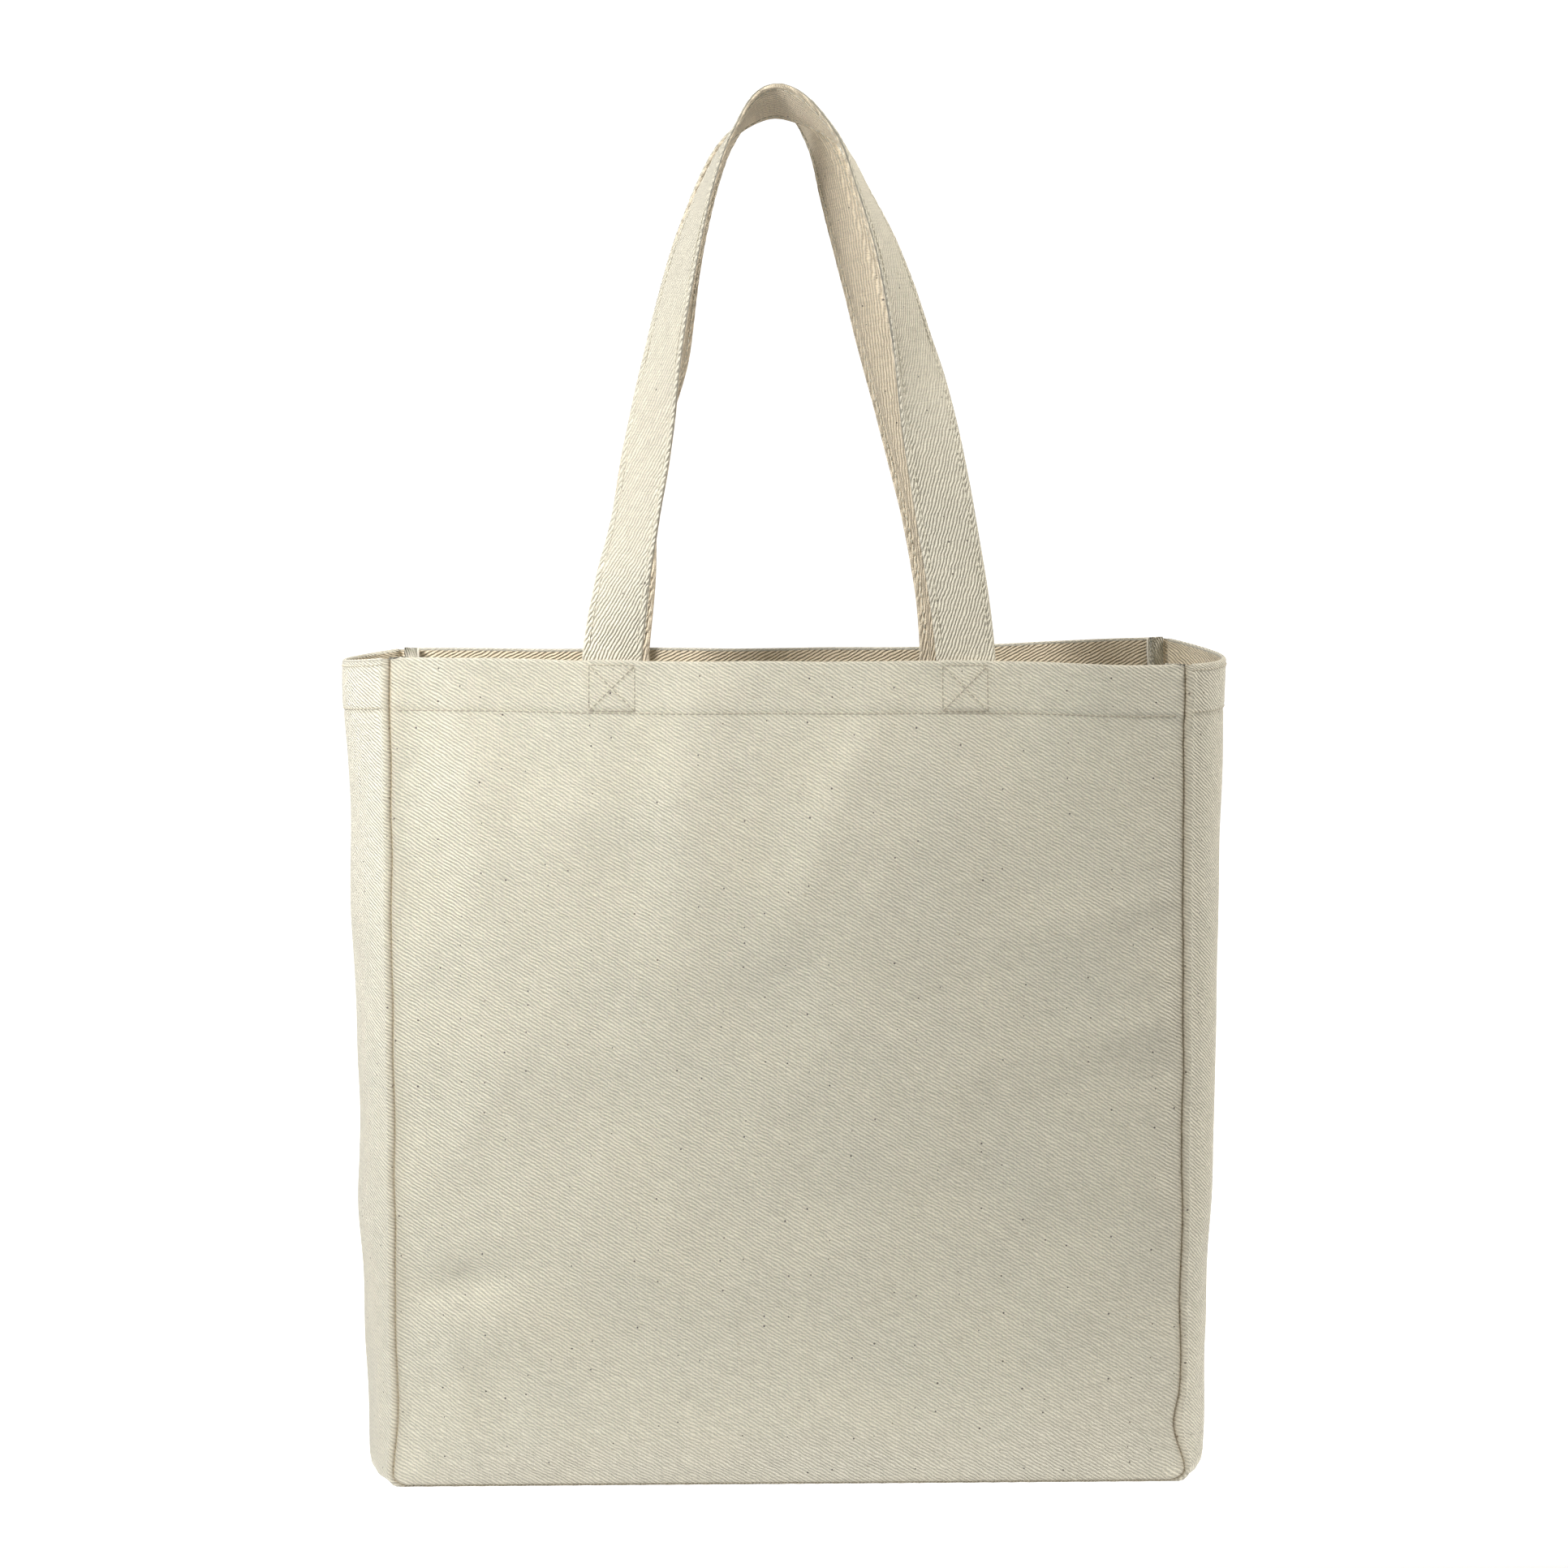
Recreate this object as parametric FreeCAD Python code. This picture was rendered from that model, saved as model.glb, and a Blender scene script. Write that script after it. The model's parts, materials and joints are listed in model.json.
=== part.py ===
"""Canvas tote bag: two panels, one bowed gusset strip and two strap handles.

Millimetres. +X is to the bag's right, +Y runs from the front panel to the back
panel, +Z is up, and the origin is the middle of the bottom, on the floor.
"""

import FreeCAD, Part
import math
import os

from FreeCAD import Placement, Rotation, Vector

os.makedirs("parts", exist_ok=True)

# ---- cloth -------------------------------------------------------------------
cloth = 0.9             # one layer of twill canvas
hem_layers = 3          # layers in a hem, where the edge is folded over twice
sewn_gap = 0.1          # room between layers that the thread pulls together

# ---- bag body ----------------------------------------------------------------
bag_height = 406.0      # floor to rim
panel_width = 386.0     # front or back panel, seam to seam
rim_depth = 86.0        # front panel to back panel at the rim
base_depth = 104.0      # front panel to back panel at the floor
corner_radius = 10.0    # rounded bottom corners of the panels
rim_bow = 26.0          # how far the gusset bellies out at the rim
low_bow = 17.0          # near the bottom, before it draws in
foot_bow = 9.0          # and at the top of the bottom corners
foot_height = 50.0      # the gusset draws in below this height
hem_height = 27.0       # height of the hem at the rim
seam_allowance = 10.0   # cloth turned into the bag along the panel's seams

# ---- handles -----------------------------------------------------------------
strap_width = 29.0
strap_thickness = 2.4   # four layers, folded
handle_spacing = 171.0  # between the middles of one handle's two legs
handle_rise = 278.0     # from the hinge line to the middle of the strap at its top
sewn_length = 30.0      # strap sewn down inside the hem
swing_room = 1.2        # between the hem and the free strap
joint_gap = 1.0         # between a sewn end and the free strap above it
lean_gap = 0.6          # between the two handles where they lean together

leg_steps = 18          # straight lengths that half of a free strap is drawn in

# One leg of a handle, from the rim to its top: share of half the spacing, share
# of the rise, and the strap's twist in degrees about its own line.
leg_stations = [
    (1.000, 0.000, 0.0),
    (0.998, 0.035, 1.0),
    (0.985, 0.072, 3.0),
    (0.945, 0.150, 11.0),
    (0.885, 0.245, 22.0),
    (0.805, 0.365, 30.0),
    (0.730, 0.480, 37.0),
    (0.675, 0.590, 47.0),
    (0.590, 0.705, 60.0),
    (0.470, 0.820, 73.0),
    (0.310, 0.922, 88.0),
    (0.160, 0.982, 103.0),
    (0.000, 1.000, 107.0),
]

# ---- threads -----------------------------------------------------------------
thread_width = 0.6      # as it lies on the cloth
thread_height = 0.3     # proud of the cloth
thread_seat = 0.05      # between the thread and the cloth it lies on
hem_stitch_inset = 1.5  # hem stitching above the hem's lower edge
hem_stitch_end = 4.0    # hem stitching stops short of each seam
box_stitch_width = 22.0
box_stitch_height = 22.0
box_stitch_lift = 1.2   # above the hem stitching
edge_stitch_inset = 3.0     # strap stitching inside each edge of the strap
seam_stitch_depth = 1.4     # seam stitching, in from the panel's outer face
overlock_width = 5.0        # overlock threads along the free edge of the seam

# ---- sizes that follow -------------------------------------------------------
hem_thickness = hem_layers * cloth
hem_radius = hem_thickness / 2
lean_in = (base_depth - rim_depth) / 2  # each panel's lean over its height
allowance_drop = seam_allowance * lean_in / (bag_height - corner_radius)
seat_height = cloth + sewn_gap + allowance_drop  # the panels stand on the gusset strip
gusset_corner_z = cloth + sewn_gap + corner_radius
panel_lean = math.atan(lean_in / (bag_height - seat_height))
panel_height = (bag_height - seat_height) / math.cos(panel_lean)
hinge_height = panel_height - hem_radius  # up the panel
strap_offset = hem_radius + swing_room + strap_thickness / 2


def half_depth(z):
    """Half the distance between the panels' outer faces at height z."""
    return base_depth / 2 - (z - seat_height) * math.tan(panel_lean)


def placed(shape, origin, turn):
    """A copy of the shape, turned about its own origin and moved to a new one."""
    copy = shape.copy()
    copy.Placement = Placement(origin, turn).multiply(copy.Placement)
    return copy


def stand_up(shape):
    """Move a piece built against an upright front panel to where that panel leans."""
    lean = Rotation(Vector(1, 0, 0), -math.degrees(panel_lean))
    return placed(shape, Vector(0, -base_depth / 2, seat_height), lean)


def mirrored_back(shape):
    """The same piece on the back of the bag."""
    return shape.mirror(Vector(0, 0, 0), Vector(0, 1, 0))


def mirrored_left(shape):
    """The same piece on the left of the bag."""
    return shape.mirror(Vector(0, 0, 0), Vector(1, 0, 0))


# ---- panels ------------------------------------------------------------------
def outline_prism(inset, front, back, top):
    """The panel's outline, drawn in by inset, as a block between two depths."""
    half = panel_width / 2 - inset
    radius = corner_radius - inset
    turn = radius * math.sqrt(0.5)
    low = inset
    corner_z = low + radius
    corner_x = half - radius
    edges = [
        Part.LineSegment(Vector(half, front, top), Vector(half, front, corner_z)).toShape(),
        Part.Arc(
            Vector(half, front, corner_z),
            Vector(corner_x + turn, front, corner_z - turn),
            Vector(corner_x, front, low),
        ).toShape(),
        Part.LineSegment(Vector(corner_x, front, low), Vector(-corner_x, front, low)).toShape(),
        Part.Arc(
            Vector(-corner_x, front, low),
            Vector(-corner_x - turn, front, corner_z - turn),
            Vector(-half, front, corner_z),
        ).toShape(),
        Part.LineSegment(Vector(-half, front, corner_z), Vector(-half, front, top)).toShape(),
        Part.LineSegment(Vector(-half, front, top), Vector(half, front, top)).toShape(),
    ]
    return Part.Face(Part.Wire(edges)).extrude(Vector(0, back - front, 0))


def edge_band(inset, thickness, front, back, top):
    """A U-shaped band that follows the panel's two sides and its bottom."""
    outer = outline_prism(inset, front, back, top)
    inner = outline_prism(inset + thickness, front - 1, back + 1, top + 1)
    return outer.cut(inner)


def make_panel():
    """Front panel: one cloth plate, its rounded hem and its turned-in allowance."""
    half = panel_width / 2
    hem_low = panel_height - hem_height
    face_corners = [
        Vector(-half, 0, 0),
        Vector(-half, cloth, 0),
        Vector(-half, cloth, hem_low),
        Vector(-half, hem_thickness, hem_low),
        Vector(-half, hem_thickness, hinge_height),
    ]
    edges = [
        Part.LineSegment(a, b).toShape()
        for a, b in zip(face_corners, face_corners[1:])
    ]
    rim_top = Vector(-half, hem_radius, panel_height)
    front_shoulder = Vector(-half, 0, hinge_height)
    edges.append(Part.Arc(face_corners[-1], rim_top, front_shoulder).toShape())
    edges.append(Part.LineSegment(front_shoulder, face_corners[0]).toShape())
    slab = Part.Face(Part.Wire(edges)).extrude(Vector(panel_width, 0, 0))
    plate = slab.common(outline_prism(0, -1, hem_thickness + 1, panel_height + 1))
    allowance = edge_band(0, cloth, 0, seam_allowance, hinge_height)
    return stand_up(plate.fuse(allowance).removeSplitter())


# ---- gusset strip ------------------------------------------------------------
def gusset_section(x, z, out_x, out_z, bow, layers):
    """Section of the strip at one place: an arc of cloth from panel to panel.

    (x, z) is the strip's inner face at the seams and (out_x, out_z) points out
    of the bag. Extra layers lie inside and fade out towards the seams.
    """
    depth = half_depth(z)
    out = Vector(out_x, 0, out_z)
    inner = [Vector(x, -depth, z), Vector(x, 0, z), Vector(x, depth, z)]
    inner[1] = inner[1] + out * (bow - (layers - 1) * cloth)
    outer = [Vector(x, y, z) + out * cloth for y in (-depth, 0, depth)]
    outer[1] = outer[1] + out * bow
    if bow > 0:
        inner_edge = Part.Arc(*inner).toShape()
        outer_edge = Part.Arc(*outer).toShape()
    else:
        inner_edge = Part.LineSegment(inner[0], inner[2]).toShape()
        outer_edge = Part.LineSegment(outer[0], outer[2]).toShape()
    back_edge = Part.LineSegment(inner[2], outer[2]).toShape()
    front_edge = Part.LineSegment(outer[0], inner[0]).toShape()
    return Part.Wire([inner_edge, back_edge, outer_edge, front_edge])


def side_bow(z):
    """How far the strip bellies out at height z, above the bottom corner."""
    share = (z - gusset_corner_z) / (bag_height - gusset_corner_z)
    foot_share = max(foot_height - z, 0) / (foot_height - gusset_corner_z)
    return low_bow + (rim_bow - low_bow) * share - (low_bow - foot_bow) * foot_share ** 2


def make_gusset_strip():
    """One strip down the right side, under the bottom and up the left side."""
    side_x = panel_width / 2 + sewn_gap
    hem_low = bag_height - hem_height
    corner_x = panel_width / 2 - corner_radius
    side_steps = 5
    foot_steps = 4
    corner_steps = 12
    hem_step = 1.0
    sections = [
        gusset_section(side_x, bag_height, 1, 0, side_bow(bag_height), hem_layers),
        gusset_section(side_x, hem_low + hem_step, 1, 0, side_bow(hem_low), hem_layers),
    ]
    for step in range(side_steps):
        z = hem_low + (foot_height - hem_low) * step / side_steps
        sections.append(gusset_section(side_x, z, 1, 0, side_bow(z), 1))
    for step in range(foot_steps):
        z = foot_height + (gusset_corner_z - foot_height) * step / foot_steps
        sections.append(gusset_section(side_x, z, 1, 0, side_bow(z), 1))
    for step in range(corner_steps + 1):
        turn = math.pi / 2 * step / corner_steps
        out_x, out_z = math.cos(turn), -math.sin(turn)
        radius = corner_radius + sewn_gap
        bow = foot_bow * math.cos(turn) ** 3 if step < corner_steps else 0
        x = corner_x + radius * out_x
        z = gusset_corner_z + radius * out_z
        sections.append(gusset_section(x, z, out_x, out_z, bow, 1))
    left_sections = [mirrored_left(section) for section in reversed(sections)]
    return Part.makeLoft(sections + left_sections, True, True)


# ---- handles -----------------------------------------------------------------
def hinge_point():
    """The line that a front handle swings about, inside the rounded rim."""
    y = hinge_height * math.sin(panel_lean) + hem_radius * math.cos(panel_lean)
    z = hinge_height * math.cos(panel_lean) - hem_radius * math.sin(panel_lean)
    return Vector(0, y - base_depth / 2, z + seat_height)


def handle_lean():
    """Lean that brings the far edge of the strap's top to the middle of the bag."""
    twist = math.radians(leg_stations[-1][2])
    inward = strap_width / 2 * math.sin(twist) + strap_thickness / 2 * abs(math.cos(twist))
    across = strap_offset + inward
    up = handle_rise + strap_width / 2 * math.cos(twist)
    reach = -hinge_point().y - lean_gap / 2
    return math.asin(reach / math.hypot(across, up)) - math.atan2(across, up)


def handle_frames():
    """Places along the strap, left leg to right leg: middle, width and face directions."""
    lean = handle_lean()
    up = Vector(0, math.sin(lean), math.cos(lean))
    inward = Vector(0, math.cos(lean), -math.sin(lean))
    left_leg = [
        Vector(-share * handle_spacing / 2, rise * handle_rise, twist)
        for share, rise, twist in leg_stations
    ]
    right_leg = [Vector(-spot.x, spot.y, spot.z) for spot in reversed(left_leg[:-1])]
    line = Part.BSplineCurve()
    line.interpolate(left_leg + right_leg)
    top = line.parameter(left_leg[-1])
    left_frames = []
    for step in range(leg_steps + 1):
        spot = line.value(top * step / leg_steps)
        slope = line.tangent(top * step / leg_steps)[0] if step else Vector(0, 1, 0)
        along = (Vector(slope.x, 0, 0) + up * slope.y).normalize()
        outward = (Vector(-slope.y, 0, 0) + up * slope.x).normalize()
        angle = math.radians(spot.z)
        width_way = outward * math.cos(angle) + inward * math.sin(angle)
        face_way = along.cross(width_way).normalize()
        middle = Vector(spot.x, 0, 0) + up * spot.y + inward * strap_offset + hinge_point()
        left_frames.append((middle, width_way, face_way))
    right_frames = [
        tuple(Vector(-way.x, way.y, way.z) for way in frame)
        for frame in reversed(left_frames[:-1])
    ]
    return left_frames + right_frames


def ribbon(frames, low, high, under, over):
    """A band of the strap's section between two widths and two heights."""
    sections = []
    for middle, width_way, face_way in frames:
        corners = [
            middle + width_way * low + face_way * under,
            middle + width_way * high + face_way * under,
            middle + width_way * high + face_way * over,
            middle + width_way * low + face_way * over,
        ]
        sections.append(Part.makePolygon(corners + corners[:1]))
    top = len(sections) // 2
    left_half = Part.makeLoft(sections[:top + 1], True, True)
    right_half = Part.makeLoft(sections[top:], True, True)
    return left_half.fuse(right_half)


def make_handle(frames):
    """The free loop of one strap."""
    half = strap_width / 2
    return ribbon(frames, -half, half, -strap_thickness / 2, strap_thickness / 2)


def make_handle_stitching(frames):
    """Stitching along both edges of the strap, seen on both of its faces."""
    free = frames[1:-1]
    near = strap_width / 2 - edge_stitch_inset
    under = strap_thickness / 2 + thread_seat
    rows = []
    for low in (-near, near - thread_width):
        rows.append(ribbon(free, low, low + thread_width, under, under + thread_height))
        rows.append(ribbon(free, low, low + thread_width, -under - thread_height, -under))
    return Part.makeCompound(rows)


def make_handle_end():
    """The right leg's end, sewn flat against the inside of the front hem."""
    low = hinge_height - joint_gap - sewn_length
    corner = Vector(handle_spacing / 2 - strap_width / 2, hem_thickness + sewn_gap, low)
    return stand_up(Part.makeBox(strap_width, strap_thickness, sewn_length, corner))


# ---- threads -----------------------------------------------------------------
def thread_bar(start, end):
    """A straight row of stitches on the outer face of the front panel."""
    run = end - start
    bar = Part.makeBox(
        run.Length, thread_height, thread_width,
        Vector(0, -thread_seat - thread_height, -thread_width / 2),
    )
    turn = Rotation(Vector(0, 1, 0), -math.degrees(math.atan2(run.z, run.x)))
    return placed(bar, start, turn)


def hem_stitch_height():
    return panel_height - hem_height + hem_stitch_inset


def make_hem_stitching():
    """Row of stitches that holds the front panel's hem."""
    end = panel_width / 2 - hem_stitch_end
    z = hem_stitch_height()
    return stand_up(thread_bar(Vector(-end, 0, z), Vector(end, 0, z)))


def make_box_stitching():
    """Rectangle of stitches with both diagonals, through the hem and the right leg's end."""
    middle = handle_spacing / 2
    left = middle - box_stitch_width / 2
    right = middle + box_stitch_width / 2
    low = hem_stitch_height() + box_stitch_lift
    high = low + box_stitch_height
    corners = [
        Vector(left, 0, low), Vector(right, 0, low),
        Vector(right, 0, high), Vector(left, 0, high),
    ]
    rows = [thread_bar(corners[i], corners[(i + 1) % 4]) for i in range(4)]
    rows.append(thread_bar(corners[0], corners[2]))
    rows.append(thread_bar(corners[1], corners[3]))
    return stand_up(rows[0].fuse(rows[1:]).removeSplitter())


def make_gusset_hem_stitching():
    """Row of stitches that holds the hem across the right gusset."""
    z = bag_height - hem_height + hem_stitch_inset
    sections = []
    for height in (z - thread_width / 2, z + thread_width / 2):
        depth = half_depth(height)
        near = panel_width / 2 + sewn_gap + cloth + thread_seat
        arcs = []
        for face in (near, near + thread_height):
            bow = side_bow(height)
            arcs.append([
                Vector(face, -depth, height),
                Vector(face + bow, 0, height),
                Vector(face, depth, height),
            ])
        sections.append(Part.Wire([
            Part.Arc(*arcs[0]).toShape(),
            Part.LineSegment(arcs[0][2], arcs[1][2]).toShape(),
            Part.Arc(*arcs[1]).toShape(),
            Part.LineSegment(arcs[1][0], arcs[0][0]).toShape(),
        ]))
    return Part.makeLoft(sections, True, True)


def make_seam_stitching():
    """Stitching that joins the front panel to the gusset, on the turned-in allowance."""
    inset = cloth + thread_seat
    back = seam_stitch_depth + thread_width
    return stand_up(
        edge_band(inset, thread_height, seam_stitch_depth, back, hinge_height - hem_height)
    )


def make_seam_overlock():
    """Overlock threads along the free edge of the front seam's allowance."""
    inset = cloth + thread_seat
    front = seam_allowance - overlock_width
    return stand_up(
        edge_band(inset, thread_height, front, seam_allowance, hinge_height - hem_height)
    )


# ---- the assembly ------------------------------------------------------------
frames = handle_frames()
front_pieces = {
    "front_panel": make_panel(),
    "front_hem_stitching": make_hem_stitching(),
    "front_seam_stitching": make_seam_stitching(),
    "front_seam_overlock": make_seam_overlock(),
    "front_handle": make_handle(frames),
    "front_handle_stitching": make_handle_stitching(frames),
    "front_right_handle_end": make_handle_end(),
    "front_right_box_stitching": make_box_stitching(),
}
for piece in ("handle_end", "box_stitching"):
    front_pieces["front_left_" + piece] = mirrored_left(front_pieces["front_right_" + piece])

nodes = {
    "gusset_strip": make_gusset_strip(),
    "right_gusset_hem_stitching": make_gusset_hem_stitching(),
}
nodes["left_gusset_hem_stitching"] = mirrored_left(nodes["right_gusset_hem_stitching"])
for name, shape in front_pieces.items():
    nodes[name] = shape
    nodes[name.replace("front", "back", 1)] = mirrored_back(shape)

for name, shape in nodes.items():
    shape.exportStep("parts/" + name + ".step")

hinge = hinge_point()
print("nodes", len(nodes))
print("front handle hinge (m)", round(hinge.y / 1000, 6), round(hinge.z / 1000, 6))
print("handle lean (degrees)", round(math.degrees(handle_lean()), 3))
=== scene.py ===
"""A natural canvas tote bag: hemmed twill panels, a bowed gusset strip and two sewn strap handles."""

import json
import math

import bpy
import numpy as np
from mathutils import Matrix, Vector, noise


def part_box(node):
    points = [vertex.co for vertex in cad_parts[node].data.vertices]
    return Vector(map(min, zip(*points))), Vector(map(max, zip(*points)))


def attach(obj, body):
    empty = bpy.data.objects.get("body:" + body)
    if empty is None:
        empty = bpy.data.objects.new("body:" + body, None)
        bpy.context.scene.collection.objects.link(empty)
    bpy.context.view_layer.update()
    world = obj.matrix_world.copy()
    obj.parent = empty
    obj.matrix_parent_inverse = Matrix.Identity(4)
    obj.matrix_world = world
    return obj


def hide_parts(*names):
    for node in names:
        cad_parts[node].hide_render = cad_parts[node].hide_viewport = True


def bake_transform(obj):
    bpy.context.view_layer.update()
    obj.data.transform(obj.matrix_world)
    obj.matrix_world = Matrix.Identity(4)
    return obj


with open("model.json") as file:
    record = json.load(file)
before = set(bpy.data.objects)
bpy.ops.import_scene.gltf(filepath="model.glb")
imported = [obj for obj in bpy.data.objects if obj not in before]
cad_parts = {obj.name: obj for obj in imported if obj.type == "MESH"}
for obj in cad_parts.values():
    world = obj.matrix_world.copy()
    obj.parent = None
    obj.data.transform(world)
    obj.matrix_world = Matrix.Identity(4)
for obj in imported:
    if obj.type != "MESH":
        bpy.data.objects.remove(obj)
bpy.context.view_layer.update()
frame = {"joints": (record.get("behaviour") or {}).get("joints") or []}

# ---------------------------------------------------------------------------
# Camera, floor and studio light. The bag stands on a pale seamless sweep and is
# seen square to its front panel from just above the rim. A soft light from the
# upper left rakes across the cloth, so that folds and weave show.
# ---------------------------------------------------------------------------
camera_turn = math.radians(-1.37)
camera_tilt = math.radians(4.91)
camera_distance = 1.641
camera_height = 0.498

camera_data = bpy.data.cameras.new("camera")
camera_data.lens = 75.9
camera_data.sensor_width = 36.0
camera_data.shift_y = -0.02
camera = bpy.data.objects.new("camera", camera_data)
camera.location = (
    math.sin(camera_turn) * camera_distance - 0.0013,
    -math.cos(camera_turn) * camera_distance,
    camera_height,
)
camera.rotation_euler = (math.pi / 2 - camera_tilt, 0, camera_turn)
bpy.context.scene.collection.objects.link(camera)
bpy.context.scene.camera = camera
bpy.context.scene.view_settings.view_transform = "Standard"

sweep_half_width = 6.0
sweep_front = -6.0
sweep_wall = 3.4
sweep_radius = 0.9
sweep_top = 3.5
sweep_line = [(sweep_front, 0.0), (sweep_wall - sweep_radius, 0.0)]
for step in range(1, 25):
    turn = math.pi / 2 * step / 24
    sweep_line.append((
        sweep_wall - sweep_radius + sweep_radius * math.sin(turn),
        sweep_radius - sweep_radius * math.cos(turn),
    ))
sweep_line.append((sweep_wall, sweep_top))
sweep_points = [
    (side * sweep_half_width, y, z) for y, z in sweep_line for side in (-1, 1)
]
sweep_faces = [
    (2 * i, 2 * i + 1, 2 * i + 3, 2 * i + 2) for i in range(len(sweep_line) - 1)
]
sweep_mesh = bpy.data.meshes.new("floor_sweep")
sweep_mesh.from_pydata(sweep_points, [], sweep_faces)
sweep_mesh.polygons.foreach_set("use_smooth", [True] * len(sweep_faces))
floor = bpy.data.objects.new("floor_sweep", sweep_mesh)
bpy.context.scene.collection.objects.link(floor)

floor_paint = bpy.data.materials.new("pale_floor")
floor_paint.use_nodes = True
floor_shader = floor_paint.node_tree.nodes["Principled BSDF"]
floor_shader.inputs["Base Color"].default_value = (0.32, 0.32, 0.32, 1)
floor_shader.inputs["Roughness"].default_value = 0.9
floor_shader.inputs["Emission Color"].default_value = (1, 1, 1, 1)
floor_place = floor_paint.node_tree.nodes.new("ShaderNodeTexCoord")
floor_split = floor_paint.node_tree.nodes.new("ShaderNodeSeparateXYZ")
glow_sum = floor_paint.node_tree.nodes.new("ShaderNodeMath")
glow_sum.operation = "ADD"
floor_links = floor_paint.node_tree.links
floor_links.new(floor_place.outputs["Object"], floor_split.inputs["Vector"])
# the floor glows under and behind the bag and far in front, but not just before its front panel
for input_place, ramp in enumerate(((-0.25, -0.13, 0.0, 0.98), (-1.9, -0.8, 0.80, 0.0))):
    glow = floor_paint.node_tree.nodes.new("ShaderNodeMapRange")
    for socket, value in zip(("From Min", "From Max", "To Min", "To Max"), ramp):
        glow.inputs[socket].default_value = value
    floor_links.new(floor_split.outputs["Y"], glow.inputs["Value"])
    floor_links.new(glow.outputs["Result"], glow_sum.inputs[input_place])
floor_links.new(glow_sum.outputs[0], floor_shader.inputs["Emission Strength"])
sweep_mesh.materials.append(floor_paint)

world = bpy.data.worlds.new("studio")
world.use_nodes = True
world.node_tree.nodes["Background"].inputs["Color"].default_value = (1.0, 0.965, 0.90, 1)
world.node_tree.nodes["Background"].inputs["Strength"].default_value = 0.085
bpy.context.scene.world = world


def soft_light(name, place, aim, size, power, colour, spread=180):
    """A square soft box that points at a spot on the bag."""
    data = bpy.data.lights.new(name, "AREA")
    data.shape = "SQUARE"
    data.size = size
    data.energy = power
    data.color = colour
    data.spread = math.radians(spread)
    lamp = bpy.data.objects.new(name, data)
    lamp.location = place
    lamp.rotation_euler = (Vector(aim) - Vector(place)).to_track_quat("-Z", "Y").to_euler()
    bpy.context.scene.collection.objects.link(lamp)


soft_light("key_light", (-0.73, -0.66, 0.88), (-0.25, 0.0, 0.36), 0.36, 3.75, (1.0, 1.0, 1.0), 80)
soft_light("right_light", (1.5, 0.10, 1.00), (0.1, 0.0, 0.50), 0.9, 20.0, (1.0, 0.96, 0.91))
soft_light("top_light", (0.25, -0.45, 2.1), (0.0, 0.0, 0.5), 1.2, 20.0, (1.0, 0.95, 0.87))

# ---------------------------------------------------------------------------
# Front and back panel. Each is one rectangle of canvas with rounded bottom
# corners. Its top edge is folded over twice into a hem, and its other edges are
# turned into the bag where they are seamed to the gusset strip.
# ---------------------------------------------------------------------------
# Every cut piece is the same unbleached cotton twill: cream yarns with a diagonal
# rib, thicker slubs here and there, and dark flecks of seed husk. It is drawn in
# metres of flat cloth, so the rib follows each piece's own grain.
rib_pitch = 0.00155
yarn_pitch = 0.00062
weave_depth = 0.00075
flecks_per_metre = 95
husk_colour = (0.07, 0.055, 0.05, 1)
straw_colour = (0.42, 0.33, 0.20, 1)
# painted shade: the brown that the seam grooves and stitch lines are painted with
painted_shade_colour = (0.32, 0.235, 0.125, 1)


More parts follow.
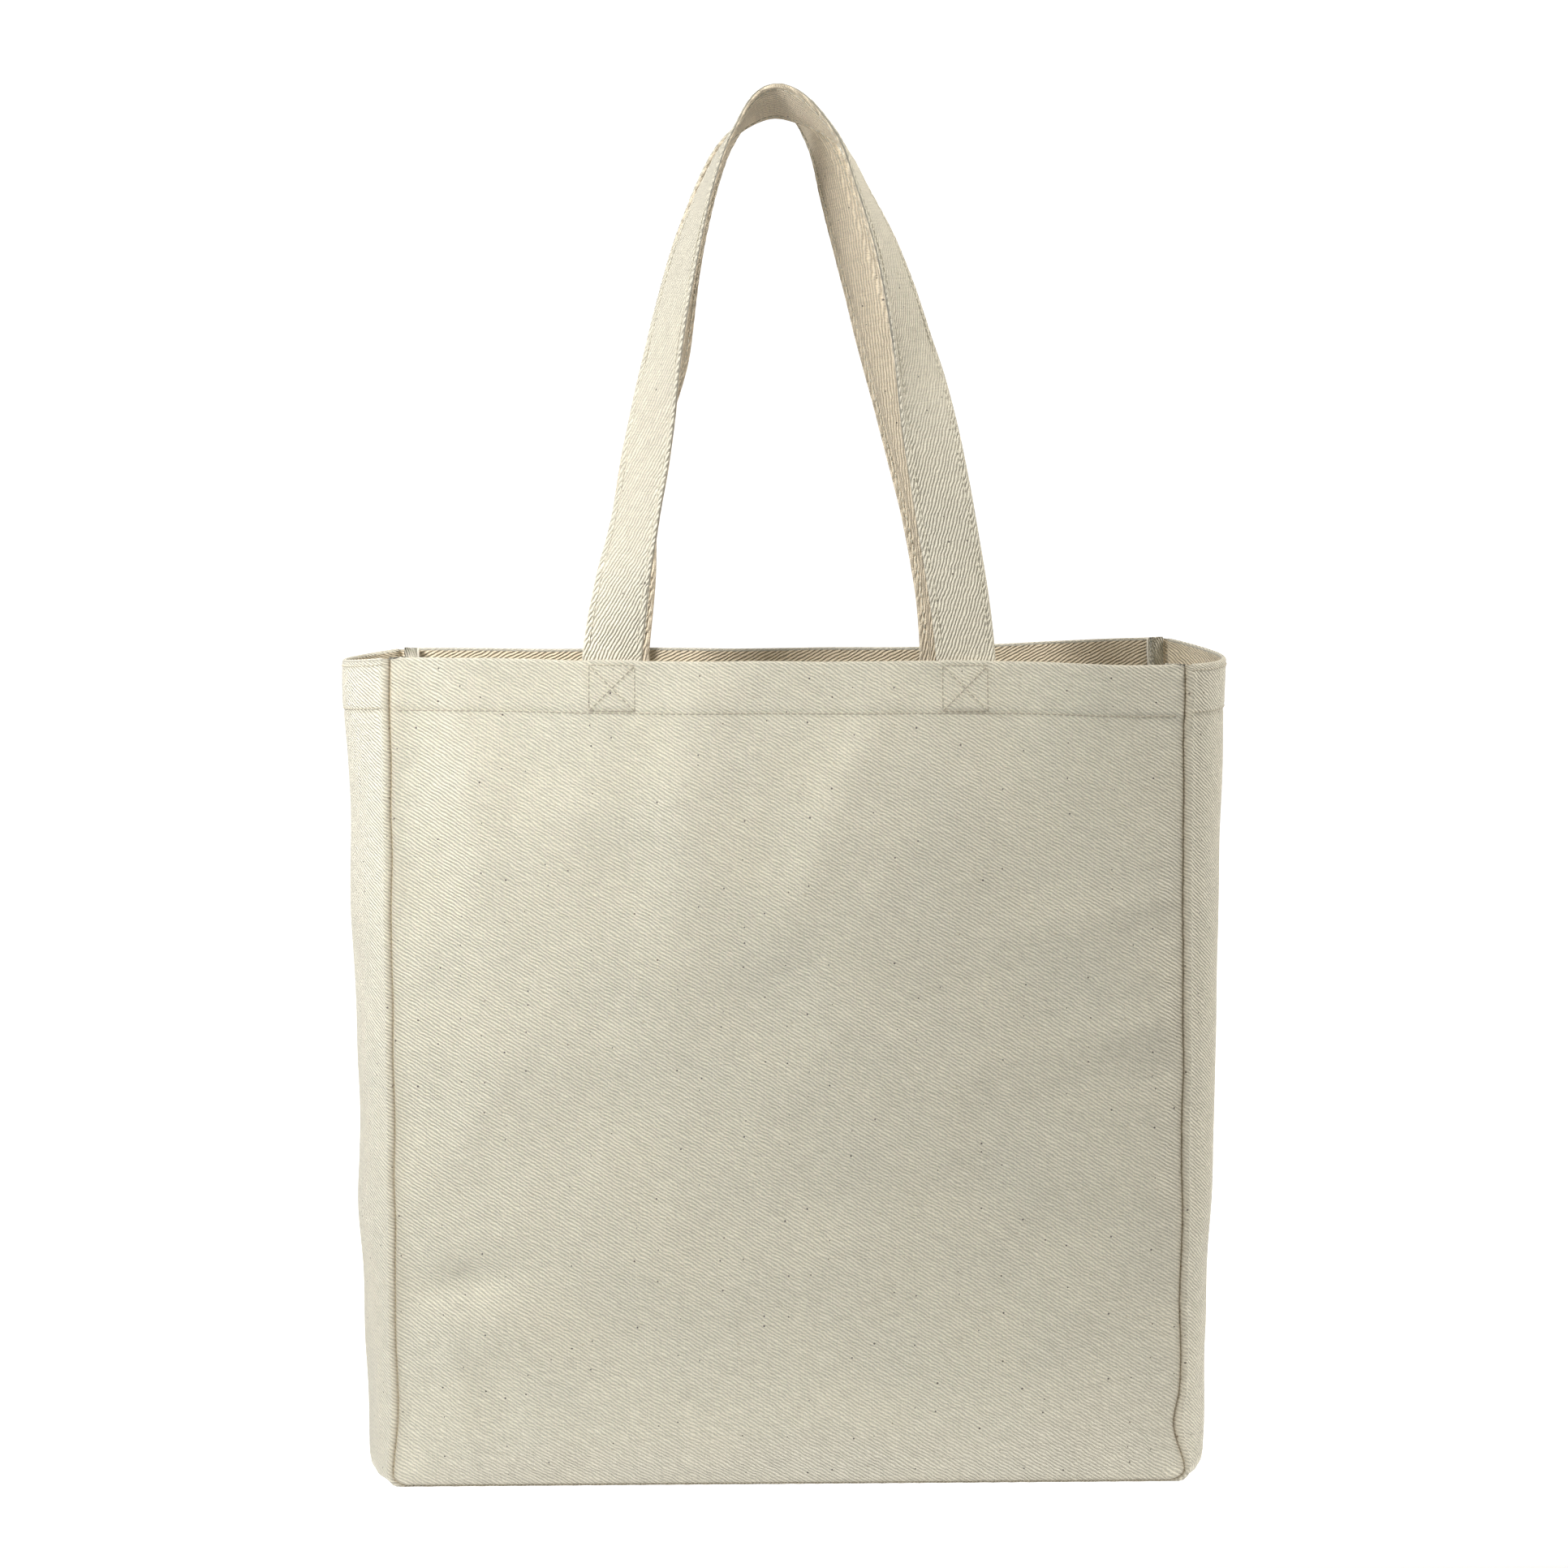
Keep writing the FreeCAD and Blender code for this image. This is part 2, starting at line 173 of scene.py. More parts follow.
def canvas(name, tint, rib_angle):
    """Twill cloth whose rib runs at rib_angle degrees to the piece's width."""
    material = bpy.data.materials.new(name)
    material.use_nodes = True
    nodes = material.node_tree.nodes
    links = material.node_tree.links
    shader = nodes["Principled BSDF"]
    shader.inputs["Roughness"].default_value = 0.88
    shader.inputs["Specular IOR Level"].default_value = 0.22
    shader.inputs["Sheen Weight"].default_value = 0.18
    shader.inputs["Sheen Roughness"].default_value = 0.5

    def math_node(operation, first, second=None, third=None):
        node = nodes.new("ShaderNodeMath")
        node.operation = operation
        for socket, value in zip(node.inputs, (first, second, third)):
            if value is None:
                continue
            if isinstance(value, (int, float)):
                socket.default_value = value
            else:
                links.new(value, socket)
        return node.outputs[0]

    def noise_node(scale, detail, stretch=(1, 1, 1)):
        place = nodes.new("ShaderNodeMapping")
        place.inputs["Scale"].default_value = stretch
        links.new(cloth.outputs["UV"], place.inputs["Vector"])
        node = nodes.new("ShaderNodeTexNoise")
        node.inputs["Scale"].default_value = scale
        node.inputs["Detail"].default_value = detail
        links.new(place.outputs["Vector"], node.inputs["Vector"])
        return node.outputs["Fac"]

    cloth = nodes.new("ShaderNodeUVMap")
    cloth.uv_map = "cloth"
    split = nodes.new("ShaderNodeSeparateXYZ")
    links.new(cloth.outputs["UV"], split.inputs["Vector"])
    across, along = split.outputs["X"], split.outputs["Y"]

    # the rib wanders a little, because the yarns are uneven
    turn = math.radians(rib_angle)
    wander = math_node("MULTIPLY", math_node("SUBTRACT", noise_node(170, 3), 0.5), 0.0020)
    rib_place = math_node(
        "ADD",
        math_node("MULTIPLY", across, -math.sin(turn)),
        math_node("ADD", math_node("MULTIPLY", along, math.cos(turn)), wander),
    )
    rib = math_node("SINE", math_node("MULTIPLY", rib_place, 2 * math.pi / rib_pitch))
    yarn_place = math_node(
        "ADD",
        math_node("MULTIPLY", across, math.cos(turn)),
        math_node("MULTIPLY", along, math.sin(turn)),
    )
    yarn = math_node("SINE", math_node("MULTIPLY", yarn_place, 2 * math.pi / yarn_pitch))

    slub_weft = noise_node(1, 2, (90, 1400, 1))
    slub_warp = noise_node(1, 2, (1400, 90, 1))
    fuzz = noise_node(2600, 3)
    blotch = noise_node(22, 3)

    height = math_node("MULTIPLY_ADD", rib, 0.42, math_node("MULTIPLY", yarn, 0.18))
    height = math_node("MULTIPLY_ADD", slub_weft, 0.55, height)
    height = math_node("MULTIPLY_ADD", slub_warp, 0.45, height)
    height = math_node("MULTIPLY_ADD", fuzz, 0.5, height)
    bump = nodes.new("ShaderNodeBump")
    bump.inputs["Strength"].default_value = 1.0
    bump.inputs["Distance"].default_value = weave_depth
    links.new(height, bump.inputs["Height"])
    links.new(bump.outputs["Normal"], shader.inputs["Normal"])

    # painted shade and yarn tone: darker between the ribs, painted where their grooves fall in shade,
    # and the yarns' own tone, uneven from yarn to yarn, with broad soft tones
    rib_shade_and_yarn_tone = math_node("MULTIPLY_ADD", rib, 0.20, 0.94)
    rib_shade_and_yarn_tone = math_node("MULTIPLY_ADD", math_node("SUBTRACT", slub_weft, 0.5), 0.40, rib_shade_and_yarn_tone)
    rib_shade_and_yarn_tone = math_node("MULTIPLY_ADD", math_node("SUBTRACT", slub_warp, 0.5), 0.26, rib_shade_and_yarn_tone)
    rib_shade_and_yarn_tone = math_node("MULTIPLY_ADD", math_node("SUBTRACT", fuzz, 0.5), 0.55, rib_shade_and_yarn_tone)
    rib_shade_and_yarn_tone = math_node("MULTIPLY_ADD", math_node("SUBTRACT", blotch, 0.5), 0.10, rib_shade_and_yarn_tone)

    # husk flecks: short dark bits lying along the yarns, and a few straw-coloured ones
    fleck_spots = nodes.new("ShaderNodeTexVoronoi")
    fleck_spots.voronoi_dimensions = "2D"
    fleck_spots.inputs["Scale"].default_value = flecks_per_metre
    links.new(cloth.outputs["UV"], fleck_spots.inputs["Vector"])
    chance = nodes.new("ShaderNodeSeparateColor")
    links.new(fleck_spots.outputs["Color"], chance.inputs["Color"])
    fleck_size = math_node("MULTIPLY_ADD", chance.outputs[2], 0.026, 0.022)
    small = math_node("LESS_THAN", fleck_spots.outputs["Distance"], fleck_size)
    dark_fleck = math_node("MULTIPLY", small, math_node("GREATER_THAN", chance.outputs[0], 0.79))
    big = math_node("LESS_THAN", fleck_spots.outputs["Distance"], 0.06)
    straw_fleck = math_node("MULTIPLY", big, math_node("GREATER_THAN", chance.outputs[1], 0.86))

    def mix(amount, first, second):
        node = nodes.new("ShaderNodeMix")
        node.data_type = "RGBA"
        if isinstance(amount, (int, float)):
            node.inputs["Factor"].default_value = amount
        else:
            links.new(amount, node.inputs["Factor"])
        for socket, value in ((node.inputs[6], first), (node.inputs[7], second)):
            if isinstance(value, tuple):
                socket.default_value = value
            else:
                links.new(value, socket)
        return node.outputs[2]

    tone = mix(blotch, (*tint, 1), (tint[0] * 0.985, tint[1] * 0.965, tint[2] * 0.93, 1))
    shaded = nodes.new("ShaderNodeVectorMath")
    shaded.operation = "SCALE"
    links.new(tone, shaded.inputs[0])
    links.new(rib_shade_and_yarn_tone, shaded.inputs["Scale"])
    with_straw = mix(
        math_node("MULTIPLY", straw_fleck, 0.22), shaded.outputs[0], straw_colour
    )
    with_husk = mix(math_node("MULTIPLY", dark_fleck, 0.85), with_straw, husk_colour)

    # painted shade: cloth drawn into a seam's groove or pulled under a stitch is painted darker and
    # browner, standing in for the shade that falls there
    tucked = nodes.new("ShaderNodeAttribute")
    tucked.attribute_name = "tucked"
    with_painted_shade = mix(tucked.outputs["Fac"], with_husk, painted_shade_colour)
    links.new(with_painted_shade, shader.inputs["Base Color"])
    return material


# the outside of the bag, and its inside, painted warmer and browner to stand in for the warm shade and
# bounced light inside the bag
body_cloth = canvas("body_canvas", (0.785, 0.752, 0.628), -32.0)
reverse_cloth = canvas("reverse_canvas", (0.85, 0.745, 0.555), 27.0)

panel_low, panel_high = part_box("front_panel")
gusset_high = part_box("gusset_strip")[1]
hinge_place = {
    joint["child"]: Vector(joint["pos_m"]) for joint in frame["joints"]
}
rim_height = gusset_high.z
half_width = panel_high.x
base_half_depth = -panel_low.y
hinge = hinge_place["front_handle_loop"]
cloth_thickness = 0.0009
hem_thickness = 3 * cloth_thickness
hem_height = 0.027
rim_half_depth = -(hinge.y - hem_thickness / 2)
corner_radius = 0.006
rim_bow = gusset_high.x - half_width - cloth_thickness
low_bow = 0.0182
foot_bow = 0.0180
foot_height = 0.036
groove_depth = 0.0024
allowance_width = 0.010
hem_stitch_height = rim_height - hem_height + 0.0015
strap_width = 0.029
handle_half_spacing = 0.0855
box_half = 0.011
box_low = hem_stitch_height + 0.0012
box_high = box_low + 2 * box_half
close_steps = np.array([-0.0038, -0.0024, -0.0016, -0.0008, 0, 0.0008, 0.0016, 0.0024, 0.0038])


def half_depth(z):
    """Half the bag's depth at a height, from panel to panel."""
    return base_half_depth + (rim_half_depth - base_half_depth) * z / rim_height


def smooth(value, low, high):
    """0 below low, 1 above high and an easy curve between."""
    share = np.clip((value - low) / (high - low), 0, 1)
    return share * share * (3 - 2 * share)


def wobble(values, size, seed):
    """Soft random variation from -1 to 1 along a line, one lump per size metres."""
    flat = np.asarray(values, float).ravel()
    heights = [noise.noise(Vector((v / size, seed * 7.31, 0.37))) for v in flat]
    return np.array(heights).reshape(np.shape(values)) * 1.6


def unevenness(first, second, size, seed):
    """Soft random variation from -1 to 1 over a sheet."""
    flat = zip(np.ravel(first), np.ravel(second))
    heights = [noise.noise(Vector((a / size, b / size, seed * 5.17))) for a, b in flat]
    return np.array(heights).reshape(np.shape(first)) * 1.6


def seam_line(x, z):
    """For points of a panel: distance in from the seam, the way out across it and its height."""
    corner_x = half_width - corner_radius
    over_x = np.abs(x) - corner_x
    over_z = corner_radius - z
    in_corner = (over_x > 0) & (over_z > 0)
    reach = np.maximum(np.hypot(over_x, over_z), 1e-9)
    side_gap = half_width - np.abs(x)
    distance = np.where(in_corner, corner_radius - reach, np.minimum(side_gap, z))
    beside = side_gap < z
    out_x = np.where(in_corner, over_x / reach, np.where(beside, 1.0, 0.0)) * np.sign(x)
    out_z = np.where(in_corner, -over_z / reach, np.where(beside, 0.0, -1.0))
    height = z + out_z * distance
    return distance, out_x, out_z, height


def gusset_bow(out_x, z):
    """How far the gusset bellies out where the seam faces out_x at height z."""
    rise = np.clip((z - corner_radius) / (rim_height - corner_radius), 0, 1)
    foot = np.clip((foot_height - z) / (foot_height - corner_radius), 0, 1)
    side_bow = low_bow + (rim_bow - low_bow) * rise - (low_bow - foot_bow) * foot ** 2
    return side_bow * np.abs(out_x) ** 1.2


def seam_drift(x, z, side):
    """How far each side seam strays inwards or outwards; the front right one kinks at its foot."""
    hand = np.sign(x)
    drift = 0.0009 * wobble(z + 0.9 * hand + 0.4 * side, 0.034, 15)
    drift += 0.0011 * wobble(z + 1.9 * hand + 0.7 * side, 0.110, 16)
    kink = 0.0028 * np.exp(-((z - 0.008) / 0.009) ** 2) - 0.0024 * np.exp(-((z - 0.031) / 0.010) ** 2)
    flare = 0.0024 * np.exp(-((z - 0.004) / 0.018) ** 2)
    drift = drift + np.where(side > 0, np.where(hand > 0, kink, flare), 0.5 * flare)
    return hand * drift * smooth(z, -0.002, 0.004) * (1 - smooth(z, rim_height - 0.03, rim_height))


def groove_way(out_x, out_z, z):
    """Unit direction from the corner of the bag down into the seam's groove."""
    swing = 2 * np.arctan2(gusset_bow(out_x, z), half_depth(z))
    way = np.stack([
        -out_x * np.cos(swing), 1 + np.sin(swing), -out_z * np.cos(swing),
    ], -1)
    return way / np.linalg.norm(way, axis=-1, keepdims=True)


def groove(distance):
    """Depth of the rolled edge beside a seam."""
    near = np.clip(groove_depth - distance, 0, groove_depth)
    return groove_depth - np.sqrt(groove_depth ** 2 - near ** 2)


def seam_length(out_x, x, z):
    """Length along the seam, used to place its puckers."""
    return np.where(np.abs(out_x) > 0.7, z, 0.3 + np.abs(x)) + np.sign(x) * 3.0


def pucker(distance, length, seed):
    """Small gathers where the seam thread draws the cloth in."""
    beat = 0.0105
    phase = length / beat * 2 * math.pi + 2.2 * wobble(length, 0.03, seed)
    strength = 0.6 + 0.5 * wobble(length, 0.05, seed + 3)
    return 0.00065 * strength * np.cos(phase) * np.exp(-distance / 0.006)


def front_folds(x, z):
    """Soft shape of the front panel, outwards: rounded sides, folds under the hem, dents."""
    share = z / rim_height
    left = x + half_width
    right = half_width - x
    crest = -0.125 + 0.175 * share
    up_to_crest = np.clip(left / (crest + half_width), 0, 1)
    past_crest = np.clip((x - crest) / (half_width - crest), 0, 1)
    belly = (0.0090 + 0.0050 * share) * smooth(rim_height - z, -0.02, 0.09)
    swell = belly * (np.sin(math.pi / 2 * up_to_crest) ** 0.85 - 0.72 * past_crest ** 1.12)
    swell -= 0.0022 * np.exp(-left / 0.016) + 0.0035 * np.exp(-right / 0.016)
    swell *= smooth(z, -0.004, 0.030) * 0.75 + 0.25
    # folds that hang from the hem: middle at the rim, drift to the left as they fall, width, lift
    below = smooth(rim_height - z, -0.03, 0.035) * (1 - smooth(rim_height - z, 0.06, 0.17))
    for middle, drift, width, lift in (
        (-0.042, 0.06, 0.017, 0.0030), (0.052, 0.40, 0.011, 0.0023),
        (-0.160, -0.10, 0.017, 0.0030), (0.125, -0.2, 0.026, 0.0012), (-0.096, 0.1, 0.02, 0.0012),
    ):
        line = middle - drift * (rim_height - z)
        swell += lift * below * np.exp(-((x - line) / width) ** 2)
    # a dent near the lower left corner, with the cloth pushed out below it
    dent_x, dent_z = x + 0.158, z - 0.103
    swell -= 0.0042 * np.exp(-(dent_x / 0.021) ** 2 - ((dent_z - 0.15 * dent_x) / 0.0075) ** 2)
    swell += 0.0034 * np.exp(-((dent_x - 0.008) / 0.030) ** 2 - ((dent_z + 0.024) / 0.015) ** 2)
    # creases that run down to that corner: place, lean, width, lift
    for start_x, lean, width, lift in (
        (-0.168, 0.55, 0.007, 0.0020), (-0.152, 0.9, 0.009, -0.0010), (-0.126, 0.35, 0.012, 0.0013),
    ):
        line = start_x + lean * (0.085 - z) * 0.35
        swell += lift * np.exp(-((x - line) / width) ** 2) * np.exp(-((z - 0.045) / 0.032) ** 2)
    # a crease half way up the left side, and three that come in from the right seam
    brow = x + 0.135 - 0.60 * (z - 0.210)
    swell += 0.0010 * np.exp(-(brow / 0.009) ** 2) * np.exp(-((z - 0.195) / 0.034) ** 2)
    for height, reach, lift in ((0.285, 0.055, 0.0016), (0.225, 0.07, 0.0018), (0.20, 0.04, -0.0015)):
        line = height - 0.25 * (right - 0.03)
        swell += lift * np.exp(-right / reach) * np.exp(-((z - line) / 0.007) ** 2)
    # the cloth's own unevenness, in broad, middling and small lumps
    swell += 0.0020 * unevenness(x, z, 0.075, 1) + 0.0008 * unevenness(x, z, 0.030, 2)
    swell += 0.00022 * unevenness(x, z, 0.009, 3)
    return swell


def back_folds(x, z):
    """The back panel is a little slacker, with its own folds."""
    share = z / rim_height
    swell = 0.0050 * np.sin(math.pi * np.clip(share, 0, 1)) * (1 - (x / half_width) ** 2)
    for edge in (x + half_width, half_width - x):
        swell -= 0.0055 * np.exp(-edge / 0.026)
    below = smooth(rim_height - z, 0.018, 0.045) * (1 - smooth(rim_height - z, 0.08, 0.20))
    for middle, drift, width, lift in ((-0.11, -0.1, 0.016, 0.0019), (0.02, 0.1, 0.014, 0.0022)):
        line = middle - drift * (rim_height - z)
        swell += lift * below * np.exp(-((x - line) / width) ** 2)
    swell += 0.0013 * unevenness(x, z, 0.06, 11) + 0.0004 * unevenness(x, z, 0.022, 12)
    return swell


def hem_relief(x, z):
    """Relief of the hem seen from outside: the folded layers, the stitched line, the strap ends."""
    in_hem = smooth(z, hem_stitch_height - 0.0022, hem_stitch_height + 0.004)
    relief = 0.00055 * in_hem
    relief -= 0.00040 * np.exp(-((z - hem_stitch_height) / 0.0013) ** 2)
    strap = smooth(strap_width / 2 + 0.001 - np.abs(np.abs(x) - handle_half_spacing), -0.001, 0.0015)
    relief += 0.0006 * strap * in_hem
    beside = np.abs(np.abs(x) - handle_half_spacing) - box_half
    above, below = z - box_high, box_low - z
    from_box = np.abs(np.maximum(beside, np.maximum(above, below)))
    relief -= 0.00040 * np.exp(-(from_box / 0.0010) ** 2)
    beat = 0.0082
    gathers = np.cos(x / beat * 2 * math.pi + 2.5 * wobble(x, 0.03, 21))
    relief += 0.00020 * gathers * np.exp(-np.abs(z - hem_stitch_height) / 0.0045)
    return relief


def rim_wave(x, side, seed):
    """The rim isn't quite level, and the bag's back right corner stands highest."""
    wave = 0.0009 * wobble(x, 0.07, seed)
    if side > 0:
        return wave + 0.0014 * smooth(-x, 0.10, half_width) - 0.0022 * smooth(x, 0.05, half_width)
    return wave + 0.0016 + 0.0052 * smooth(x, 0.05, half_width)


def row_of(near, spacing, total):
    """Positions from 0 to total, close together at both ends."""
    near = np.array(near)
    count = max(int((total - 2 * near[-1]) / spacing), 2)
    middle = np.linspace(near[-1], total - near[-1], count + 1)[1:-1]
    return np.concatenate([near, middle, total - near[::-1]])


# mesh rows lie this far from an edge, and then at even steps
panel_mesh_step = 0.0042
edge_steps = [0, 0.0003, 0.0007, 0.0012, 0.0018, 0.0026, 0.0038, 0.0054, 0.0076, 0.0105]


class Cloth:
    """A growing mesh with its flat-cloth coordinates."""

    def __init__(self):
        self.points, self.faces, self.flat = [], [], []
        self.tucked, self.reverse = [], set()

    def grid(self, points, flat, wrap=False, tucked=None, reverse_rows=()):
        """Adds a sheet of rows and columns; wrap joins the last row to the first."""
        rows, columns = points.shape[:2]
        self.tucked += [0.0] * (rows * columns) if tucked is None else list(tucked.ravel())
        for row in reverse_rows:
            first = len(self.faces) + row * (columns - 1)
            self.reverse.update(range(first, first + columns - 1))
        start = len(self.points)
        self.points += [tuple(p) for p in points.reshape(-1, 3)]
        self.flat += [tuple(p) for p in flat.reshape(-1, 2)]
        index = start + np.arange(rows * columns).reshape(rows, columns)
        below = index if wrap else index[:-1]
        above = np.roll(index, -1, 0) if wrap else index[1:]
        quads = np.stack([below[:, :-1], below[:, 1:], above[:, 1:], above[:, :-1]], -1)
        self.faces += [tuple(int(i) for i in quad) for quad in quads.reshape(-1, 4)]
        return index

    def piece(self, name, material, reverse_material):
        mesh = bpy.data.meshes.new(name)
        mesh.from_pydata(self.points, [], self.faces)
        mesh.polygons.foreach_set("use_smooth", [True] * len(mesh.polygons))
        layer = mesh.uv_layers.new(name="cloth")
        corners = np.zeros(len(mesh.loops), int)
        mesh.loops.foreach_get("vertex_index", corners)
        layer.data.foreach_set("uv", np.array(self.flat)[corners].astype(np.float32).ravel())
        shading = mesh.attributes.new("tucked", "FLOAT", "POINT")
        shading.data.foreach_set("value", np.array(self.tucked, np.float32))
        mesh.materials.append(material)
        if self.reverse:
            mesh.materials.append(reverse_material)
            sides = [int(i in self.reverse) for i in range(len(mesh.polygons))]
            mesh.polygons.foreach_set("material_index", sides)
        mesh.update()
        thing = bpy.data.objects.new(name, mesh)
        bpy.context.scene.collection.objects.link(thing)
        return thing


def outward(points, flip):
    """Unit normals of a grid of points."""
    down_rows = np.gradient(points, axis=0)
    along_row = np.gradient(points, axis=1)
    ways = np.cross(along_row, down_rows) * flip
    return ways / np.linalg.norm(ways, axis=-1, keepdims=True)


def thick_sheet(cloth, outer, normals, depth, flat, tucked, rolled_ends):
    """Gives a sheet its thickness: outer face, rolled rim where it is hemmed, inner face, edges."""
    inner = outer - normals * depth[..., None]
    middle = (outer + inner) / 2
    loops, flats, shades = [outer], [flat], [tucked]
    roll_steps = 5
    roll_flat = np.stack([np.zeros(roll_steps - 1), np.arange(1, roll_steps) * 0.0009], -1)
    for end, rolled in ((-1, rolled_ends[1]), (0, rolled_ends[0])):
        step_back = outer[end] - outer[-2 if end == -1 else 1]
        way = step_back / np.linalg.norm(step_back, axis=-1, keepdims=True)
        roll = []
        for step in range(1, roll_steps):
            turn = math.pi * step / roll_steps
            if end == 0:
                turn = math.pi - turn
            half = depth[end][:, None] / 2
            roll.append(middle[end] + half * (normals[end] * math.cos(turn) + way * math.sin(turn)))
        if end == -1:
            if rolled:
                loops.append(np.array(roll))
                flats.append(flat[-1:] + roll_flat[:, None])
                shades.append(np.zeros(loops[-1].shape[:2]))
            loops.append(inner[::-1])
            flats.append(flat[::-1])
            shades.append(np.zeros(tucked.shape))
        elif rolled:
            loops.append(np.array(roll))
            flats.append(flat[:1] + roll_flat[:, None])
            shades.append(np.zeros(loops[-1].shape[:2]))
    rows = np.concatenate(loops)
    count = len(outer)
    first_inner = len(outer) + (roll_steps - 1 if rolled_ends[1] else 0)
    index = cloth.grid(
        rows, np.concatenate(flats), True, np.concatenate(shades),
        range(first_inner, first_inner + count - 1),
    )
    for column in (0, -1):
        front = index[:count, column]
        behind = index[first_inner:first_inner + count, column][::-1]
        for i in range(count - 1):
            face = [front[i], front[i + 1], behind[i + 1], behind[i]]
            cloth.faces.append(tuple(int(v) for v in (face if column == -1 else face[::-1])))
        if rolled_ends[1]:
            cap = index[count - 1:first_inner + 1, column]
            cloth.faces.append(tuple(int(v) for v in (cap if column == -1 else cap[::-1])))


def seam_path(spacing, close=()):
    """Points along a panel's seam, from its left rim round the bottom to its right rim."""
    corner_x = half_width - corner_radius
    side = np.linspace(rim_height, corner_radius, int((rim_height - corner_radius) / spacing) + 1)
    side = np.unique(np.concatenate([side, close]))[::-1]
    left = [(-half_width, z, -1.0, 0.0) for z in side]
    turns = np.linspace(0, math.pi / 2, int(corner_radius * math.pi / 2 / 0.001) + 1)
    corner = [
        (
            -corner_x - corner_radius * math.cos(t), corner_radius - corner_radius * math.sin(t),
            -math.cos(t), -math.sin(t),
        )
        for t in turns[1:]
    ]
    bottom = [(x, 0.0, 0.0, -1.0) for x in np.linspace(-corner_x, 0, int(corner_x / spacing) + 1)[1:]]
    half = np.array(left + corner + bottom)
    other = half[-2::-1] * np.array([-1, 1, -1, 1])
    path = np.concatenate([half, other])
    steps = np.hypot(*np.diff(path[:, :2], axis=0).T)
    return path, np.concatenate([[0], np.cumsum(steps)])


def seam_fin(spacing, side):
    """Along a seam, the cloth turned in behind it: root, way it lies, its facing, length so far."""
    path, length = seam_path(spacing)
    x, z, out_x, out_z = path.T
    strayed = x + seam_drift(x, z, side) * np.abs(out_x)
    at_rim = rim_wave(x, side, 48 if side > 0 else 68) * smooth(z, rim_height - 0.12, rim_height)
    corner = np.stack([strayed, -half_depth(z), z + at_rim], -1)
    root = corner + groove_way(out_x, out_z, z) * (groove_depth - 0.0003)
    along_panel = np.stack([-out_x, np.zeros(len(x)), -out_z], -1)
    into_bag = np.array([0.0, 1.0, 0.0])
    lay = 0.72 + 0.10 * wobble(length, 0.05, 31)
    way = along_panel * lay[:, None] + into_bag * (1 - lay[:, None] * 0.45)
    way /= np.linalg.norm(way, axis=-1, keepdims=True)
    facing = into_bag - way * way[:, 1:2]
    facing /= np.linalg.norm(facing, axis=-1, keepdims=True)
    return root, way, facing, length


def allowance(cloth, side, layer):
    """The seam's turned-in edge: a strip behind the groove, one layer of it per cut piece."""
    root, way, facing, length = seam_fin(0.006, side)
    offset = facing * (cloth_thickness * 0.5 * layer)
    edge = allowance_width * (1 + 0.05 * wobble(length, 0.012, 33 + layer))
    rows = []
    for share, face in ((0, -1), (0.5, -1), (1, -1), (1, 1), (0.5, 1), (0, 1)):
        spot = root + way * (edge * share)[:, None] + offset + facing * (cloth_thickness * 0.48 * face)
        rows.append(spot)
    rows = np.array(rows) * np.array([1, side, 1])
    flat = np.array([np.stack([length, edge * share], -1) for share in (0, 0.5, 1, 1.05, 1.5, 2)])
    if side > 0:
        rows, flat = rows[::-1], flat[::-1]
    index = cloth.grid(rows, flat, wrap=True)
    cloth.faces.append(tuple(int(v) for v in index[::-1, 0]))
    cloth.faces.append(tuple(int(v) for v in index[:, -1]))


panel_sheets = {}
panel_columns = row_of(edge_steps, panel_mesh_step, 2 * half_width) / half_width - 1
for strap_place in (-handle_half_spacing, handle_half_spacing):
    for gap in (-strap_width / 2, -box_half, box_half, strap_width / 2):
        close = (strap_place + gap + close_steps[2:7:2]) / half_width
        panel_columns = panel_columns[[np.abs(c - close).min() > 0.0026 for c in panel_columns]]
        panel_columns = np.sort(np.concatenate([panel_columns, close]))
panel_rows = row_of(edge_steps, panel_mesh_step, rim_height - hem_thickness / 2 + 0.0105)
for height in (hem_stitch_height, box_high):
    close = height + close_steps
    panel_rows = panel_rows[[np.abs(r - close).min() > 0.0005 for r in panel_rows]]
    panel_rows = np.sort(np.concatenate([panel_rows, close]))
panel_rows = panel_rows[panel_rows < rim_height - hem_thickness / 2]
panel_rows = np.append(panel_rows, rim_height - hem_thickness / 2)


